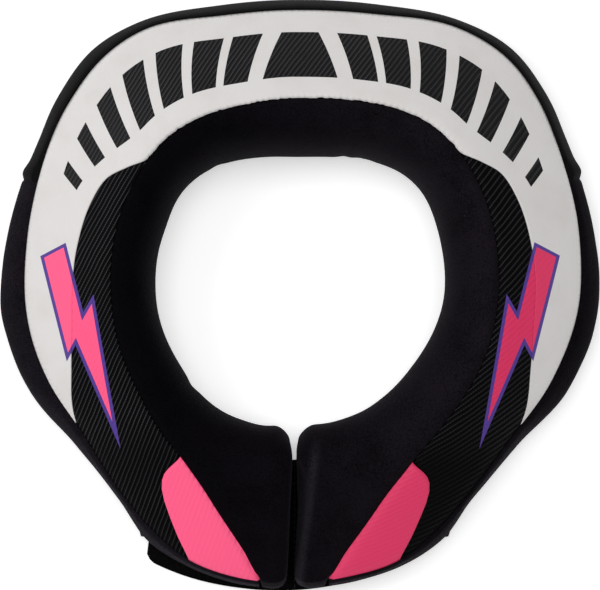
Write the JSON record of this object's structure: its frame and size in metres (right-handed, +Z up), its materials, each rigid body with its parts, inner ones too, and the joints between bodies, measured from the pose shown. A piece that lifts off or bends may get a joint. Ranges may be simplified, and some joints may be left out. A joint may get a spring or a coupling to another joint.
{
  "type": "padded motocross neck collar",
  "caption": "Soft foam neck collar that rings the neck, with a brushed roll, sloping sewn panels and a flap under its closed front.",
  "frame": {"origin": "middle of the collar's outline, on the surface that it rests on", "axes": "+Z up out of the neck opening, +Y towards the back of the neck, +X to the right in a view from above with the closure nearest the viewer"},
  "size_m": [0.2702, 0.2686, 0.062],
  "materials": {
    "brushed_cloth": "brushed nap",
    "knit_cover": "fine knit",
    "white_print": "satin print on ribbed cloth",
    "twill_cloth": "ribbed twill",
    "pink_print": "satin print on ribbed twill",
    "hook_tape": "woven hook tape"
  },
  "bodies": {
    "root": {"collar_roll": "brushed_cloth", "lower_pad": "knit_cover", "white_panel": "white_print", "twill_panel_left": "twill_cloth", "twill_panel_right": "twill_cloth", "pink_panel_left": "pink_print", "pink_panel_right": "pink_print", "rim_cover_left": "brushed_cloth", "rim_cover_right": "brushed_cloth", "closure_flap": "hook_tape"}
  },
  "joints": []
}
